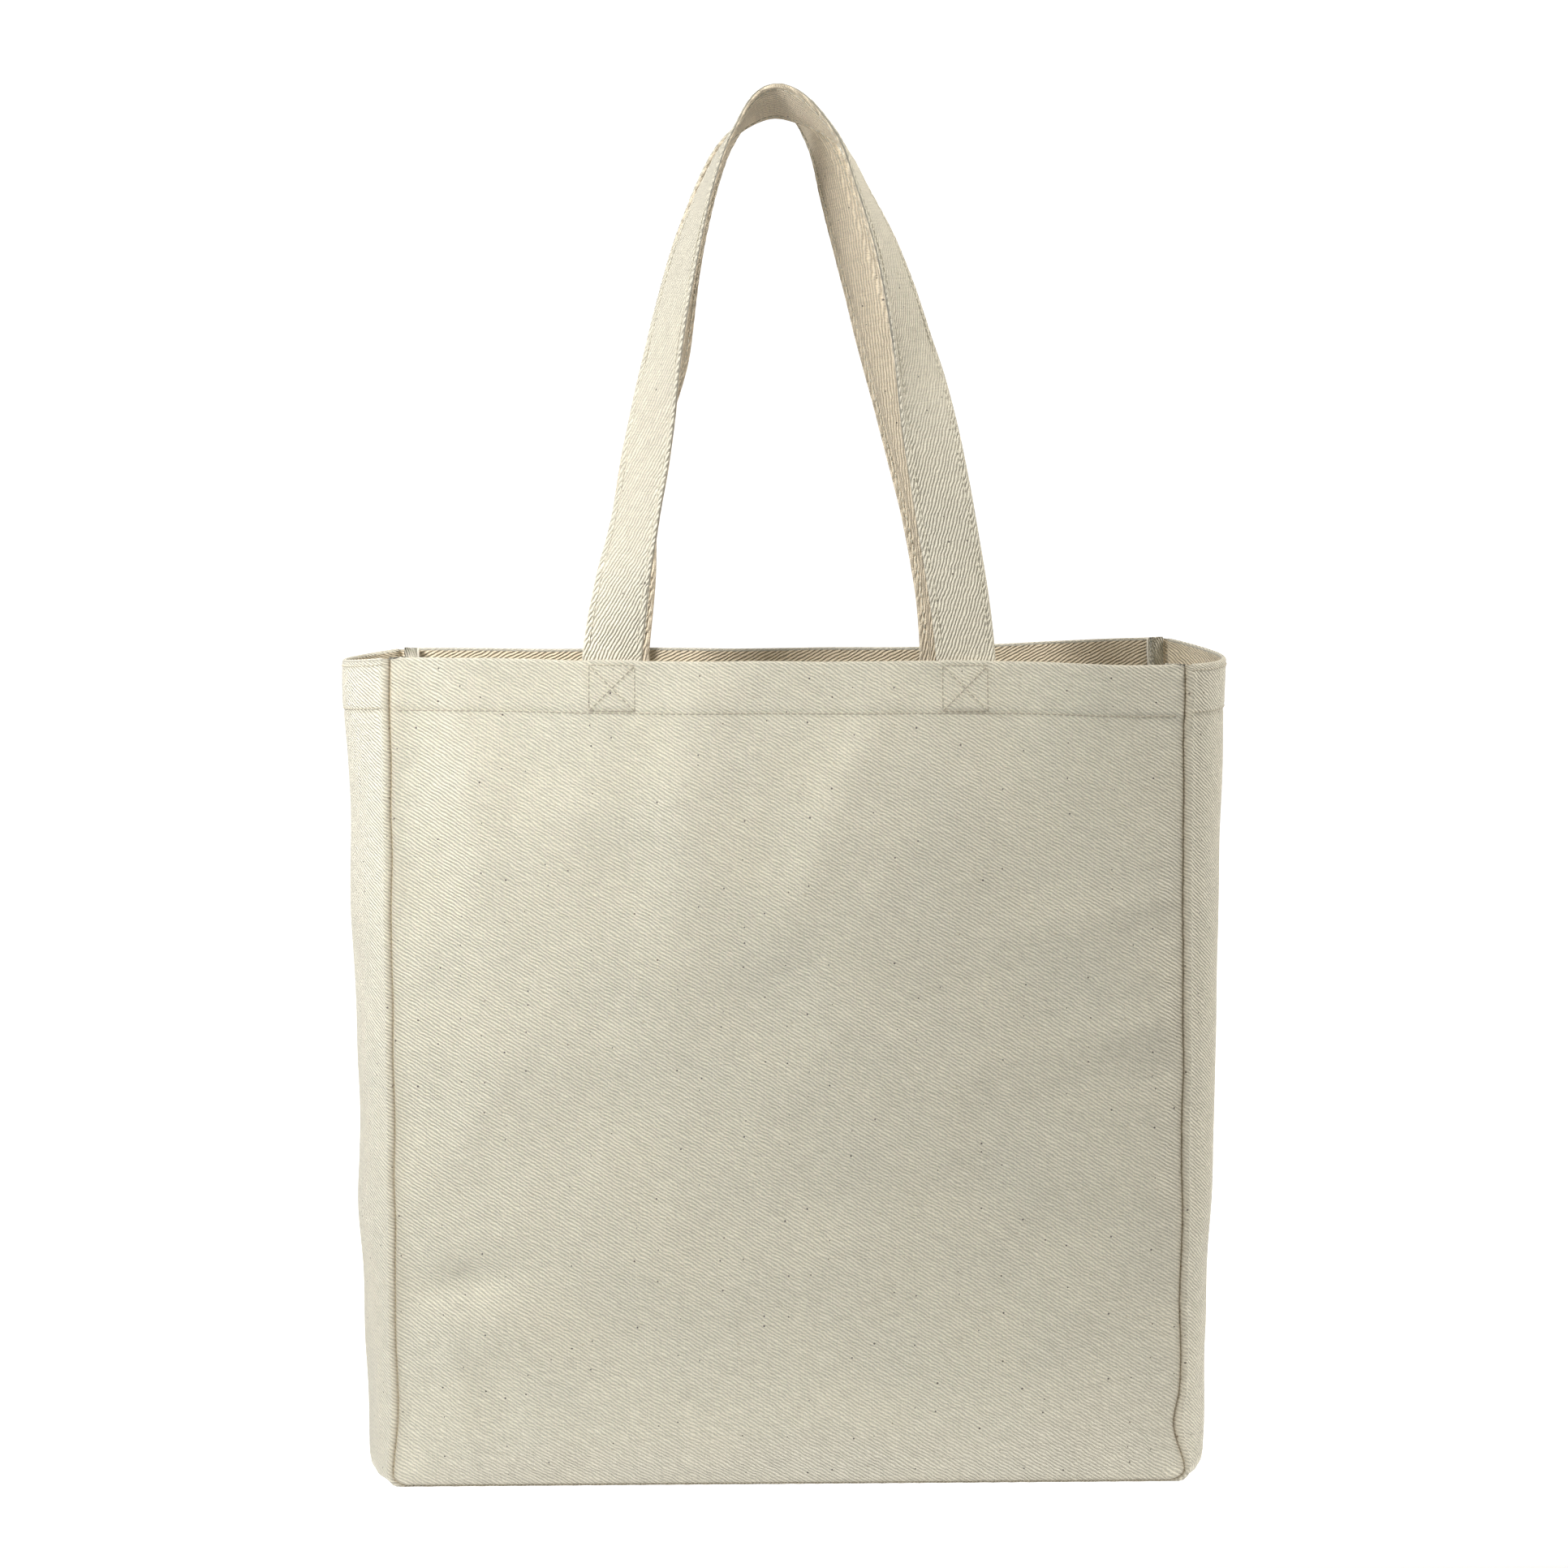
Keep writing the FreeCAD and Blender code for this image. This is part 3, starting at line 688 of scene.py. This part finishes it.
def make_panel(name, side, folds, seed):
    """side is 1 for the front panel and -1 for the back one, which is its mirror in depth."""
    share, z = np.meshgrid(panel_columns, panel_rows)
    rounding = np.clip(corner_radius - z, 0, corner_radius)
    edge_x = half_width - corner_radius + np.sqrt(corner_radius ** 2 - rounding ** 2)
    x = share * edge_x
    distance, out_x, out_z, seam_z = seam_line(x, z)
    length = seam_length(out_x, x, z)
    loose = smooth(distance, 0.0, 0.012)
    proud = folds(x, z) * loose + hem_relief(x, z) * smooth(distance, 0.001, 0.005)
    proud += pucker(distance, length, seed) * smooth(distance, 0.0, 0.002)
    wave = 0.0016 * wobble(x, 0.045, seed + 5) * smooth(z, rim_height - 0.10, rim_height) * loose
    y = -half_depth(z) - proud - wave
    drop = rim_wave(x, side, seed + 8) * smooth(z, rim_height - 0.12, rim_height)
    strayed = seam_drift(x, seam_z, side) * np.abs(out_x) * np.exp(-distance / 0.012)
    outer = np.stack([x + strayed, y, z + drop], -1)
    outer += groove_way(out_x, out_z, seam_z) * groove(distance)[..., None]
    flat = np.stack([x, z], -1)
    normals = outward(outer, 1)
    in_hem = smooth(z, rim_height - hem_height - 0.0006, rim_height - hem_height + 0.0006)
    near_seam = smooth(distance, 0.0005, 0.006)
    depth = cloth_thickness + (hem_thickness - cloth_thickness) * in_hem * near_seam
    # painted shade, darkest down in the seam's groove, and a little along the hem stitches
    tucked = 0.70 * np.exp(-distance / 0.0012)
    stitched = np.exp(-((z - hem_stitch_height) / 0.0009) ** 2) * smooth(distance, 0.002, 0.006)
    tucked += 0.05 * stitched
    outer = outer * np.array([1, side, 1])
    normals = normals * np.array([1, side, 1])
    if side < 0:
        outer, normals, depth, flat, tucked = (
            a[:, ::-1] for a in (outer, normals, depth, flat, tucked)
        )
    cloth = Cloth()
    thick_sheet(cloth, outer, normals, depth, flat, tucked, rolled_ends=(False, True))
    allowance(cloth, side, -1)
    piece = cloth.piece(name + "_cloth", body_cloth, reverse_cloth)
    panel_sheets[name] = {
        "outer": outer, "normals": normals, "depth": depth, "columns": panel_columns * side,
    }
    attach(piece, "bag")
    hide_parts(name)


make_panel("front_panel", 1, front_folds, 40)
make_panel("back_panel", -1, back_folds, 60)

# ---------------------------------------------------------------------------
# Gusset strip. One long strip of the same canvas makes the left side, the
# bottom and the right side. Empty, its sides belly outwards, and both of its
# ends are hemmed at the rim.
# ---------------------------------------------------------------------------
gusset_cut_width = 0.110
across_steps = row_of(edge_steps, 0.0055, gusset_cut_width) / gusset_cut_width * 2 - 1


def make_gusset():
    path, length = seam_path(0.0045, hem_stitch_height + close_steps)
    top = rim_height - hem_thickness / 2
    path[0, 1] = path[-1, 1] = top
    x, z, out_x, out_z = (values[:, None] for values in path.T)
    run = length[:, None]
    across = across_steps[None, :]
    depth_here = half_depth(z)
    bow = np.maximum(gusset_bow(out_x, z), 1e-5)
    radius = (depth_here ** 2 + bow ** 2) / (2 * bow)
    swing = 2 * np.arctan2(bow, depth_here)
    turn = across * swing
    y = radius * np.sin(turn)
    out = radius * (np.cos(turn) - np.cos(swing))
    way_out = np.stack([out_x * np.cos(turn), np.sin(turn), out_z * np.cos(turn)], -1)
    spot = np.stack([x + out_x * out, y, z + out_z * out + 0 * turn], -1)
    distance = (1 - np.abs(across)) * gusset_cut_width / 2 + 0 * turn
    side = np.where(across < 0, 0, 1)
    gathers = pucker(distance, run + 0 * across + side * 1.7, 80)
    ridge = 0.0013 * np.exp(-((distance - 0.0034) / 0.0017) ** 2)
    slack = smooth(distance, 0.004, 0.03)
    on_side = np.abs(out_x)
    soft = 0.0013 * unevenness(run + 0 * across, y, 0.05, 7) * slack * on_side
    height = z + 0 * across
    hem = smooth(height, hem_stitch_height - 0.0022, hem_stitch_height + 0.004) * on_side
    stitched = np.exp(-((height - hem_stitch_height) / 0.0012) ** 2) * on_side
    proud = (gathers + ridge) * smooth(distance, 0.0, 0.002) + soft
    proud += (0.0004 * hem - 0.00045 * stitched) * smooth(distance, 0.001, 0.006)
    spot = spot + way_out * proud[..., None]
    end_side = np.where(across < 0, 1, -1) + 0 * run
    strayed = seam_drift(x + 0 * across, z + 0 * across, end_side) * on_side
    spot[..., 0] += strayed * np.exp(-distance / 0.010)
    roll = groove_way(out_x, out_z, z) + 0 * way_out
    roll[..., 1] *= -np.sign(across + 1e-9)
    spot = spot + roll * groove(distance)[..., None]
    near_rim = smooth(height, rim_height - 0.12, rim_height) * on_side
    front_end = np.where(x > 0, -0.0022, 0.0014)
    back_end = np.where(x > 0, 0.0068, 0.0016)
    rim_level = front_end + (back_end - front_end) * (across + 1) / 2
    spot[..., 2] += (rim_level - 0.0030 * (1 - across ** 2)) * near_rim
    spot[..., 2] = np.maximum(spot[..., 2], 0.0)
    flat = np.stack([across * gusset_cut_width / 2 + 0 * run, run + 0 * across], -1)
    in_hem = smooth(height, rim_height - hem_height - 0.0006, rim_height - hem_height + 0.0006)
    depth = cloth_thickness + 2 * cloth_thickness * in_hem * on_side * smooth(distance, 0.0005, 0.006)
    normals = outward(spot, 1)
    # painted shade, darkest down in each seam's groove, and along the hem stitches
    tucked = 0.70 * np.exp(-distance / 0.0012) + 0.12 * stitched
    cloth = Cloth()
    thick_sheet(cloth, spot, normals, depth, flat, tucked, rolled_ends=(True, True))
    allowance(cloth, 1, 1)
    allowance(cloth, -1, 1)
    piece = cloth.piece("gusset_strip_cloth", body_cloth, reverse_cloth)
    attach(piece, "bag")
    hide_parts("gusset_strip")
    return {"outer": spot, "normals": normals, "depth": depth, "length": length}


gusset_sheet = make_gusset()

# ---------------------------------------------------------------------------
# Handles. Each is one strap, folded to four layers and stitched along both
# edges. Its ends are sewn flat inside the hem, and between them it rises,
# turning on its way so that it lies crosswise at the top, over the other strap.
# ---------------------------------------------------------------------------
strap_cloth = canvas("strap_canvas", (0.80, 0.76, 0.63), 66.0)
# the straps' under faces: the same canvas painted a warmer tan, standing in for the warm shade they lie
# in, and paler to offset that shade
strap_reverse = canvas("strap_reverse_canvas", (0.88, 0.775, 0.60), 78.0)
strap_thickness = 0.0024
sewn_length = 0.031
strap_offset = hem_thickness / 2 + 0.0012 + strap_thickness / 2
sewn_offset = hem_thickness / 2 + 0.0001 + strap_thickness / 2
edge_stitch_place = strap_width / 2 - 0.003
handle_lean = math.radians(4.92)

# the way a leg goes, in millimetres and degrees: out from the middle, up, turn
strap_ways = {
    "front_left": [
        (85.5, 5, 1), (81.0, 35, 21), (74.0, 70, 36), (67.0, 110, 38), (60.5, 150, 51),
        (50.6, 195, 61), (39.3, 230, 75), (27.0, 256, 86),
    ],
    "front_right": [
        (85.8, 5, 0), (82.8, 35, 0), (76.6, 70, 1), (69.7, 110, 14), (62.0, 150, 40),
        (50.2, 195, 60), (36.3, 230, 74), (22.5, 256, 87),
    ],
    "back_left": [
        (83.0, 5, 0), (80.0, 35, 10), (76.5, 66, 37), (69.5, 110, 45), (59.5, 150, 40),
        (50.5, 195, 56), (40.4, 230, 69), (28.5, 256, 80),
    ],
    "back_right": [
        (83.0, 5, 0), (80.2, 35, 5), (73.0, 70, 13), (61.8, 110, 25), (50.7, 150, 31),
        (37.4, 195, 40), (26.5, 230, 51), (15.0, 258, 70),
    ],
}
strap_tops = {"front": (-5.0, 272.5, 113), "back": (-7.0, 274, 99)}


def even_curve(knots, spacing):
    """Smooth curve through the knots, given back at even spacing of its first two values."""
    knots = np.array(knots, float)
    ends = np.vstack([2 * knots[0] - knots[1], knots, 2 * knots[-1] - knots[-2]])
    fine = []
    for a, b, c, d in zip(ends, ends[1:], ends[2:], ends[3:]):
        t = np.linspace(0, 1, 24, endpoint=False)[:, None]
        fine.append(0.5 * (
            2 * b + (c - a) * t + (2 * a - 5 * b + 4 * c - d) * t ** 2
            + (3 * b - a - 3 * c + d) * t ** 3
        ))
    fine = np.vstack(fine + [knots[-1:]])
    run = np.concatenate([[0], np.cumsum(np.hypot(*np.diff(fine[:, :2], axis=0).T))])
    even = np.linspace(0, run[-1], int(run[-1] / spacing) + 1)
    return np.stack([np.interp(even, run, column) for column in fine.T], -1), even


def strap_frames(side):
    """Along a strap: middle, way of its width, way of its face and length so far."""
    knots = []
    for hand, sign in (("left", -1), ("right", 1)):
        leg = [(sign * x / 1000, up / 1000, strap_offset, turn)
               for x, up, turn in strap_ways[side + "_" + hand]]
        foot_x = leg[0][0]
        leg = [
            (foot_x, -sewn_length, sewn_offset, 0), (foot_x, -0.018, sewn_offset, 0),
            (foot_x, -0.005, sewn_offset + 0.0001, 0),
        ] + leg
        knots.append(leg)
    top_x, top_up, top_turn = strap_tops[side]
    top = [(top_x / 1000, top_up / 1000, strap_offset, top_turn)]
    rows, run = even_curve(knots[0] + top + knots[1][::-1], 0.0030)
    x, rise, offset, turn = rows.T
    up = np.array([0, math.sin(handle_lean), math.cos(handle_lean)])
    inward = np.array([0, math.cos(handle_lean), -math.sin(handle_lean)])
    panel_up = np.array([0, math.sin(0.0222), math.cos(0.0222)])
    high = smooth(rise, -0.006, 0.012)[:, None]
    way_up = up * high + panel_up * (1 - high)
    middle = np.stack([x, 0 * x, 0 * x], -1) + rise[:, None] * way_up + offset[:, None] * inward
    middle += np.array(hinge)
    slope = np.gradient(np.stack([x, rise], -1), axis=0)
    slope /= np.linalg.norm(slope, axis=-1, keepdims=True)
    along = slope[:, :1] * np.array([1, 0, 0]) + slope[:, 1:] * way_up
    outward_way = -slope[:, 1:] * np.array([1, 0, 0]) + slope[:, :1] * way_up
    outward_way /= np.linalg.norm(outward_way, axis=-1, keepdims=True)
    angle = np.radians(turn)[:, None]
    width_way = outward_way * np.cos(angle) + inward * np.sin(angle)
    face_way = np.cross(width_way, along)
    face_way /= np.linalg.norm(face_way, axis=-1, keepdims=True)
    flip = np.array([1, 1 if side == "front" else -1, 1])
    return middle * flip, width_way * flip, face_way * flip, run


def strap_section():
    """Half outline of a strap across its width: place and half thickness."""
    half = strap_width / 2
    places = [
        -half, -half + 0.0002, -half + 0.0006, -half + 0.0012, -0.0130, -edge_stitch_place,
        -0.0101, -0.0088, -0.0060, -0.0030, 0,
    ]
    places = np.array(places + [-p for p in places[-2::-1]])
    edge = np.clip((half - np.abs(places)) / 0.0012, 0, 1)
    thick = strap_thickness / 2 * np.sqrt(1 - (1 - edge) ** 2)
    thick -= 0.00042 * np.exp(-((np.abs(places) - edge_stitch_place) / 0.0009) ** 2)
    thick += 0.00012 * np.exp(-(places / 0.007) ** 2)
    return places, np.maximum(thick, 0)


def make_strap(side, seed):
    middle, width_way, face_way, run = strap_frames(side)
    places, thick = strap_section()
    beat = 0.0064
    drawn = 1 + 0.10 * np.cos(run / beat * 2 * math.pi + 2 * wobble(run, 0.03, seed))
    waver = 0.00035 * wobble(run, 0.045, seed + 1)
    lift = 0.00030 * unevenness(run[:, None] + 0 * places, 0 * run[:, None] + places, 0.02, seed + 2)
    spread = (places + waver[:, None] * (np.abs(places) / (strap_width / 2)))[..., None]
    rows = []
    for face in (1, -1):
        height = (face * thick * drawn[:, None] + lift * smooth(thick, 0, 0.0009))[..., None]
        rows.append(middle[:, None] + width_way[:, None] * spread + face_way[:, None] * height)
    over, under = rows
    ring = np.concatenate([over, under[:, -2:0:-1]], 1)
    flat_across = np.concatenate([places, strap_width - places[-2:0:-1]])
    flat = np.stack([
        flat_across[None, :] + 0 * run[:, None], run[:, None] + 0 * flat_across[None, :],
    ], -1)
    cloth = Cloth()
    turned = np.swapaxes(ring, 0, 1)
    inner = range(len(places) - 1)
    if side == "back":
        turned = turned[::-1]
        inner = range(len(places) - 2, 2 * len(places) - 3)
    index = cloth.grid(turned, np.swapaxes(flat, 0, 1), wrap=True, reverse_rows=inner)
    cloth.faces.append(tuple(int(v) for v in index[::-1, 0]))
    cloth.faces.append(tuple(int(v) for v in index[:, -1]))
    piece = cloth.piece(side + "_strap", strap_cloth, strap_reverse)
    bend_low = Vector((0, hinge_place[side + "_handle_loop"].y, hinge.z - 0.004))
    bend_high = bend_low + Vector((0, 0, 0.014))
    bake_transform(piece)
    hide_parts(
        side + "_handle", side + "_left_handle_end", side + "_right_handle_end",
    )
    return {
        "middle": middle, "width": width_way, "face": face_way, "run": run,
        "bend": (bend_low, bend_high),
    }


straps = {"front": make_strap("front", 90), "back": make_strap("back", 110)}

# ---------------------------------------------------------------------------
# Stitching. One cream cotton thread holds the hems, the strap ends and the strap
# edges. Every stitch is a short pad of thread that dips into the cloth at both
# ends.
# ---------------------------------------------------------------------------
stitch_pitch = 0.0031
stitch_length = 0.0024
thread_radius = 0.00034


def thread_material(name, tint):
    material = bpy.data.materials.new(name)
    material.use_nodes = True
    nodes = material.node_tree.nodes
    links = material.node_tree.links
    shader = nodes["Principled BSDF"]
    shader.inputs["Roughness"].default_value = 0.62
    shader.inputs["Specular IOR Level"].default_value = 0.3
    shader.inputs["Sheen Weight"].default_value = 0.2
    place = nodes.new("ShaderNodeTexCoord")
    twist = nodes.new("ShaderNodeTexWave")
    twist.inputs["Scale"].default_value = 900
    twist.inputs["Distortion"].default_value = 1.5
    links.new(place.outputs["Object"], twist.inputs["Vector"])
    # darker bands of the twist: painted shade in the grooves between the plies
    shades = nodes.new("ShaderNodeValToRGB")
    shades.color_ramp.elements[0].color = (tint[0] * 0.72, tint[1] * 0.70, tint[2] * 0.66, 1)
    shades.color_ramp.elements[1].color = (*tint, 1)
    links.new(twist.outputs["Fac"], shades.inputs["Fac"])
    links.new(shades.outputs["Color"], shader.inputs["Base Color"])
    bump = nodes.new("ShaderNodeBump")
    bump.inputs["Strength"].default_value = 0.4
    bump.inputs["Distance"].default_value = 0.0001
    links.new(twist.outputs["Fac"], bump.inputs["Height"])
    links.new(bump.outputs["Normal"], shader.inputs["Normal"])
    return material


thread_cotton = thread_material("thread", (0.70, 0.67, 0.56))
# the hem and box stitches are the same cream thread, painted darker to stand in for the shade in their
# needle holes
shaded_hem_cotton = thread_material("shaded_hem_thread", (0.52, 0.48, 0.38))


class Thread:
    """A growing mesh of thread."""

    def __init__(self):
        self.points, self.faces = [], []

    def tube(self, line, radii, sides=6, across=None):
        """Round thread along a line of points, closed where its radius ends."""
        line = np.asarray(line, float)
        along = np.gradient(line, axis=0)
        along /= np.linalg.norm(along, axis=-1, keepdims=True) + 1e-12
        hint = np.array([0.31, 0.22, 0.93]) if across is None else np.asarray(across, float)
        first = np.cross(along, hint)
        first /= np.linalg.norm(first, axis=-1, keepdims=True) + 1e-12
        second = np.cross(along, first)
        start = len(self.points)
        for k in range(len(line)):
            for side in range(sides):
                turn = 2 * math.pi * side / sides
                way = first[k] * math.cos(turn) + second[k] * math.sin(turn)
                self.points.append(tuple(line[k] + way * radii[k]))
        for k in range(len(line) - 1):
            low = start + k * sides
            for side in range(sides):
                other = (side + 1) % sides
                self.faces.append((low + side, low + other, low + sides + other, low + sides + side))
        self.faces.append(tuple(range(start + sides - 1, start - 1, -1)))
        last = start + (len(line) - 1) * sides
        self.faces.append(tuple(range(last, last + sides)))

    def row(self, line, normals, lift=0.00012, both_ends=0.0):
        """A row of stitches along a line that lies on the cloth."""
        line, normals = np.asarray(line, float), np.asarray(normals, float)
        run = np.concatenate([[0], np.cumsum(np.linalg.norm(np.diff(line, axis=0), axis=-1))])
        start = both_ends
        while start + stitch_length < run[-1] - both_ends:
            spots = start + stitch_length * np.array([0, 0.14, 0.5, 0.86, 1])
            places = np.stack([np.interp(spots, run, column) for column in line.T], -1)
            ways = np.stack([np.interp(spots, run, column) for column in normals.T], -1)
            ways /= np.linalg.norm(ways, axis=-1, keepdims=True)
            rise = np.array([-0.0003, lift * 0.7, lift, lift * 0.7, -0.0003])
            radii = thread_radius * np.array([0.5, 0.95, 1, 0.95, 0.5])
            self.tube(places + ways * rise[:, None], radii, 6, ways[2])
            start += stitch_pitch

    def piece(self, name, material):
        mesh = bpy.data.meshes.new(name)
        mesh.from_pydata(self.points, [], self.faces)
        mesh.polygons.foreach_set("use_smooth", [True] * len(mesh.polygons))
        mesh.materials.append(material)
        mesh.update()
        thing = bpy.data.objects.new(name, mesh)
        bpy.context.scene.collection.objects.link(thing)
        return thing


def on_grid(sheet, row, column):
    """Points and normals of a sheet at fractional rows and columns."""
    row = np.clip(np.asarray(row, float), 0, sheet["outer"].shape[0] - 1.001)
    column = np.clip(np.asarray(column, float), 0, sheet["outer"].shape[1] - 1.001)
    i, j = row.astype(int), column.astype(int)
    a, b = (row - i)[:, None], (column - j)[:, None]
    found = []
    for values in (sheet["outer"], sheet["normals"]):
        found.append(
            values[i, j] * (1 - a) * (1 - b) + values[i + 1, j] * a * (1 - b)
            + values[i, j + 1] * (1 - a) * b + values[i + 1, j + 1] * a * b
        )
    return found


def on_panel(name, x, z):
    """Points and normals of a panel's outer face."""
    sheet = panel_sheets[name]
    columns = sheet["columns"] * half_width
    order = np.arange(len(columns))
    row = np.interp(z, panel_rows, np.arange(len(panel_rows)))
    if name == "back_panel":
        column = np.interp(x, columns[::-1], order)
    else:
        column = np.interp(x, columns, order)
    return on_grid(sheet, row, column)


def straight(start, end, step=0.001):
    """Evenly spaced places from start to end."""
    start, end = np.array(start, float), np.array(end, float)
    count = max(int(np.linalg.norm(end - start) / step), 2)
    return start + (end - start) * np.linspace(0, 1, count)[:, None]


for panel_name in ("front_panel", "back_panel"):
    side_name = panel_name.split("_")[0]
    rows = Thread()
    line = straight((-half_width + 0.004, hem_stitch_height), (half_width - 0.004, hem_stitch_height))
    rows.row(*on_panel(panel_name, line[:, 0], line[:, 1]))
    hem_row = rows.piece(side_name + "_hem_stitches", shaded_hem_cotton)
    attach(hem_row, "bag")
    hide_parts(side_name + "_hem_stitching")
    for hand, sign in (("left", -1), ("right", 1)):
        centre = sign * handle_half_spacing
        left_x, right_x = centre - box_half, centre + box_half
        rows = Thread()
        for start, end in (
            ((left_x, box_low), (right_x, box_low)), ((right_x, box_low), (right_x, box_high)),
            ((right_x, box_high), (left_x, box_high)), ((left_x, box_high), (left_x, box_low)),
            ((left_x, box_low), (right_x, box_high)), ((right_x, box_low), (left_x, box_high)),
        ):
            line = straight(start, end)
            rows.row(*on_panel(panel_name, line[:, 0], line[:, 1]))
        box = rows.piece(side_name + "_" + hand + "_box_stitches", shaded_hem_cotton)
        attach(box, "bag")
        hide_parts(side_name + "_" + hand + "_box_stitching")

for side_name, strap in straps.items():
    rows = Thread()
    free = strap["run"] > sewn_length + 0.006
    free &= strap["run"] < strap["run"][-1] - sewn_length - 0.006
    face_height = strap_thickness / 2 - 0.00036
    for edge in (-edge_stitch_place, edge_stitch_place):
        for face in (-1, 1):
            line = strap["middle"] + strap["width"] * edge + strap["face"] * face * face_height
            rows.row(line[free], (strap["face"] * face)[free], lift=0.00016)
    edge_rows = rows.piece(side_name + "_strap_stitches", thread_cotton)
    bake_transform(edge_rows)
    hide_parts(side_name + "_handle_stitching")

for hand, sign in (("left", 0), ("right", 1)):
    rows = Thread()
    for height in (hem_stitch_height, rim_height - 0.0042):
        down = rim_height - hem_thickness / 2 - height
        run_place = down if hand == "left" else gusset_sheet["length"][-1] - down
        row_place = np.interp(run_place, gusset_sheet["length"], np.arange(len(gusset_sheet["length"])))
        across_places = np.linspace(-0.95, 0.95, 110)
        columns = np.interp(across_places, across_steps, np.arange(len(across_steps)))
        rows.row(*on_grid(gusset_sheet, row_place + 0 * columns, columns))
    gusset_rows = rows.piece(hand + "_gusset_hem_stitches", shaded_hem_cotton)
    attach(gusset_rows, "bag")
    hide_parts(hand + "_gusset_hem_stitching")

# ---------------------------------------------------------------------------
# Seams. Lock stitches hold panel to gusset deep in each groove, and a zigzag of
# overlock thread binds the free edge of the turned-in cloth inside the bag.
# ---------------------------------------------------------------------------
# the lock stitches are the same cream thread, painted darker and browner to stand in for the shade deep
# in the groove
shaded_seam_thread = thread_material("shaded_seam_thread", (0.56, 0.49, 0.33))
overlock_cotton = thread_material("overlock_thread", (0.78, 0.75, 0.66))


for side_name, flip in (("front", 1), ("back", -1)):
    path, length = seam_path(0.0015)
    x, z, out_x, out_z = path.T
    x = x + seam_drift(x, z, flip) * np.abs(out_x)
    corner = np.stack([x, -half_depth(z), z], -1)
    way = groove_way(out_x, out_z, z)
    keep = z < rim_height - 0.006
    rows = Thread()
    turned = np.array([1, flip, 1])
    rows.row(
        ((corner + way * (groove_depth - 0.00035))[keep]) * turned, (-way)[keep] * turned, lift=0.0001
    )
    seam_row = rows.piece(side_name + "_seam_stitches", shaded_seam_thread)
    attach(seam_row, "bag")
    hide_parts(side_name + "_seam_stitching")

    root, way, facing, length = seam_fin(0.0013, flip)
    width = allowance_width * (1 + 0.05 * wobble(length, 0.012, 33))
    zigzag = Thread()
    for face in (-1, 1):
        spots = []
        for k in range(len(length)):
            reach = width[k] + 0.0003 if k % 2 else width[k] - 0.0048
            spots.append(root[k] + way[k] * reach + facing[k] * face * (cloth_thickness + 0.0002))
        line = np.array(spots) * turned
        zigzag.tube(line, np.full(len(line), 0.00022), 4)
    binding = np.array([root[k] + way[k] * (width[k] + 0.0005) for k in range(len(length))]) * turned
    zigzag.tube(binding, np.full(len(binding), 0.0006), 5)
    overlock = zigzag.piece(side_name + "_overlock_threads", overlock_cotton)
    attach(overlock, "bag")
    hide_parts(side_name + "_seam_overlock")
